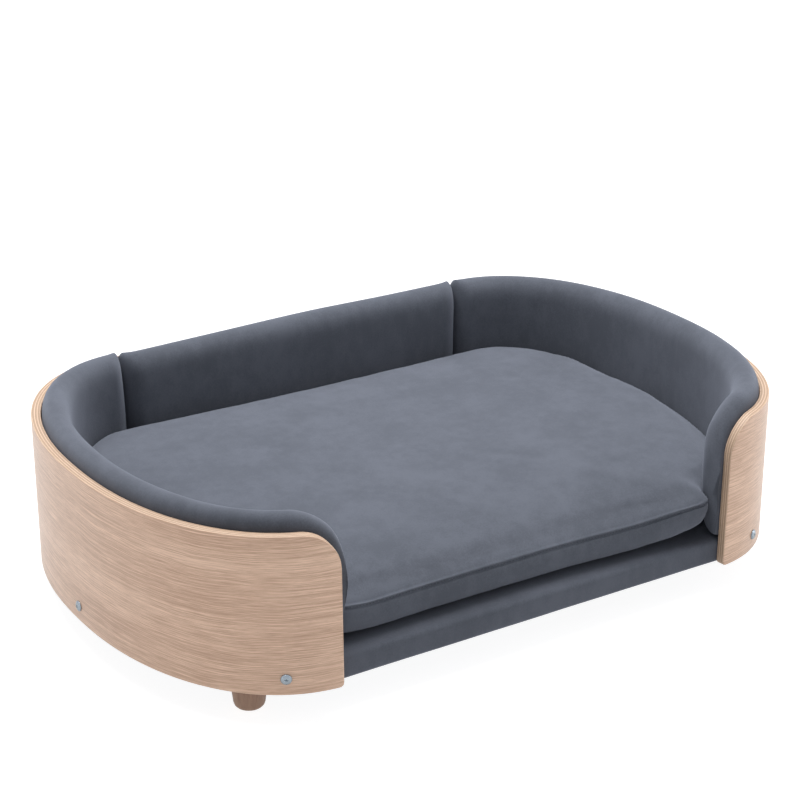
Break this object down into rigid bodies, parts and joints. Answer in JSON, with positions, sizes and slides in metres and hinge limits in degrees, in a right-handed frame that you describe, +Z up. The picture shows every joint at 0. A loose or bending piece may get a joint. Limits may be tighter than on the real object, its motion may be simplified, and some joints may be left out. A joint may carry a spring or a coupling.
{
  "type": "dog bed",
  "caption": "Low pet bed: bent-plywood frame on tapered wooden legs, padded bolsters inside the panels, and a loose zipped cushion on an upholstered base.",
  "frame": {"origin": "on the floor, under the middle of the bed's width and depth", "axes": "+X to the bed's right as seen from its open front, +Y to its back, +Z up; the open front faces -Y"},
  "size_m": [1.0072, 0.6706, 0.272],
  "materials": {
    "oak_plywood": "satin",
    "beech_dowel": "matte",
    "base_wood": "matte",
    "leg_wood": "satin",
    "grey_velvet": "matte",
    "foam": "matte",
    "zip_tape": "matte",
    "zip_metal": "satin",
    "zinc_steel": "satin",
    "dark_glide": "matte"
  },
  "bodies": {
    "frame": {"left_side_panel": "oak_plywood", "right_side_panel": "oak_plywood", "back_panel": "oak_plywood", "left_lower_dowel": "beech_dowel", "left_upper_dowel": "beech_dowel", "right_lower_dowel": "beech_dowel", "right_upper_dowel": "beech_dowel", "base_board": "base_wood", "deck_foam": "foam", "deck_cover": "grey_velvet", "left_bolster": "grey_velvet", "right_bolster": "grey_velvet", "back_bolster": "grey_velvet", "front_left_leg": "leg_wood", "front_left_glide": "dark_glide", "front_left_stud": "zinc_steel", "front_left_tee_nut": "zinc_steel", "front_right_leg": "leg_wood", "front_right_glide": "dark_glide", "front_right_stud": "zinc_steel", "front_right_tee_nut": "zinc_steel", "rear_left_leg": "leg_wood", "rear_left_glide": "dark_glide", "rear_left_stud": "zinc_steel", "rear_left_tee_nut": "zinc_steel", "rear_right_leg": "leg_wood", "rear_right_glide": "dark_glide", "rear_right_stud": "zinc_steel", "rear_right_tee_nut": "zinc_steel", "left_front_bolt": "zinc_steel", "left_front_insert": "zinc_steel", "left_middle_bolt": "zinc_steel", "left_middle_insert": "zinc_steel", "left_rear_bolt": "zinc_steel", "left_rear_insert": "zinc_steel", "right_front_bolt": "zinc_steel", "right_front_insert": "zinc_steel", "right_middle_bolt": "zinc_steel", "right_middle_insert": "zinc_steel", "right_rear_bolt": "zinc_steel", "right_rear_insert": "zinc_steel", "back_left_bolt": "zinc_steel", "back_left_insert": "zinc_steel", "back_right_bolt": "zinc_steel", "back_right_insert": "zinc_steel"},
    "cushion": {"cushion_cover": "grey_velvet", "cushion_fill": "foam", "zip_chain": "zip_tape"},
    "slider": {"zip_slider": "zip_metal"},
    "pull_tab": {"zip_pull_tab": "zip_metal"}
  },
  "joints": [
    {"name": "cushion_lift", "type": "slide", "parent": "frame", "child": "cushion", "axis": [0, 0, 1], "range_m": [0, 0.25]},
    {"name": "zip_slide", "type": "slide", "parent": "cushion", "child": "slider", "axis": [1, 0, 0], "range_m": [0, 0.44]},
    {"name": "pull_tab_swing", "type": "hinge", "parent": "slider", "child": "pull_tab", "pos_m": [-0.225, 0.2714, 0.108], "axis": [0, 0, 1], "range_deg": [0, 12]}
  ]
}
